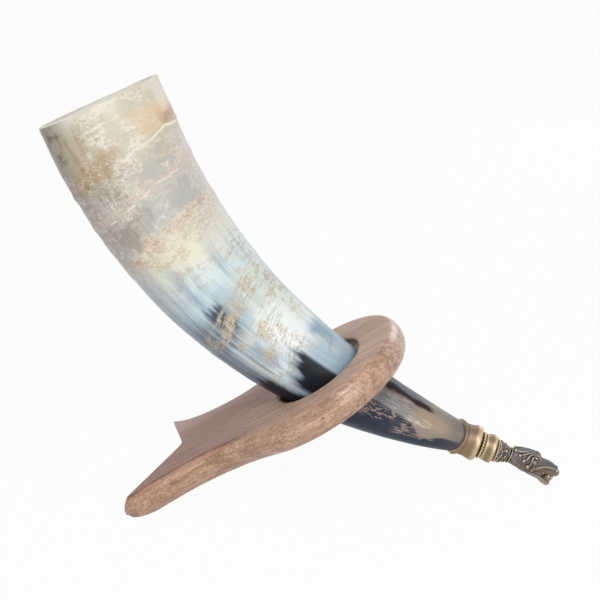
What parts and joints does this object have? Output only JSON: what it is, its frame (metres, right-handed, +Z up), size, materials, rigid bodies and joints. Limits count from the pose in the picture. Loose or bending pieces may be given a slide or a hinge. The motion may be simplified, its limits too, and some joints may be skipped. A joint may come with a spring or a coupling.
{
  "type": "drinking horn on a wooden stand",
  "caption": "Curved natural drinking horn with a brass ferrule and dragon-head finial, leaning through the hole of a notched wooden stand board.",
  "frame": {"origin": "middle of the bounding box in X and Y, on the floor that the two tail feet and the finial's chin rest on", "axes": "+Z up; the horn bends in the plane Y = 0 with its mouth towards -X and its finial towards +X; the near side of the picture is -Y"},
  "size_m": [0.2939, 0.1192, 0.2614],
  "materials": {
    "stand_wood": "satin",
    "horn_keratin": "polished",
    "pitch": "matte",
    "stud_steel": "brushed",
    "antique_brass": "antique"
  },
  "bodies": {
    "stand": {"stand_board": "stand_wood"},
    "horn": {"horn": "horn_keratin", "tip_bedding": "pitch", "tip_stud": "stud_steel", "ferrule": "antique_brass", "upper_bead_wire": "antique_brass", "lower_bead_wire": "antique_brass", "dragon_head": "antique_brass"}
  },
  "joints": [
    {"name": "horn_lift", "type": "slide", "parent": "stand", "child": "horn", "axis": [-0.848, 0, 0.5299], "range_m": [0, 0.16]}
  ]
}
